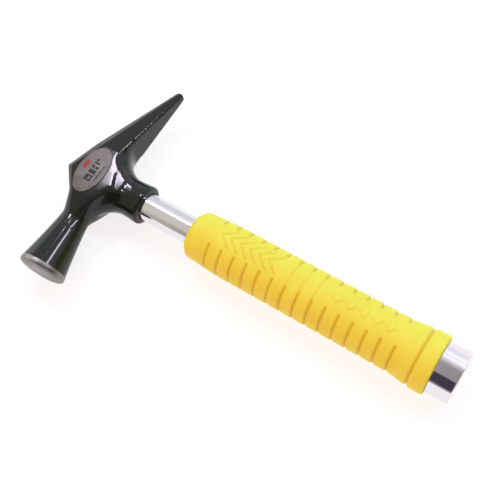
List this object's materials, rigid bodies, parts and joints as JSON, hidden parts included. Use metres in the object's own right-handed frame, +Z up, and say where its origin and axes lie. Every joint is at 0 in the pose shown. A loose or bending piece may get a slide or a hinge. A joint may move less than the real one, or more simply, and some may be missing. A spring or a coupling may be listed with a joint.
{
  "type": "bead breaker",
  "caption": "Hand bead breaker: steel head with a round striking face and a tapered wedge pick, plated tube handle and ribbed grip.",
  "frame": {"origin": "centre of the bounding box's base, with the tool lying on its side on the grip's end ring", "axes": "+X along the handle from the head to the butt, +Y from the striking face to the pick's tip, +Z up, square to the labelled cheek"},
  "size_m": [0.2928, 0.1604, 0.0396],
  "materials": {
    "head_paint": "gloss black lacquer over forged steel, striking face ground bare",
    "label_foil": "satin printed foil",
    "plated_tube": "polished plating",
    "plated_cap": "polished plating",
    "bare_steel": "machined",
    "core_plastic": "moulded",
    "grip_rubber": "soft moulded, satin"
  },
  "bodies": {
    "root": {"hammer_head": "head_paint", "cheek_label": "label_foil", "handle_tube": "plated_tube", "head_wedge": "bare_steel", "grip_core": "core_plastic", "grip_sleeve": "grip_rubber", "butt_cap": "plated_cap", "butt_pin": "bare_steel"}
  },
  "joints": []
}
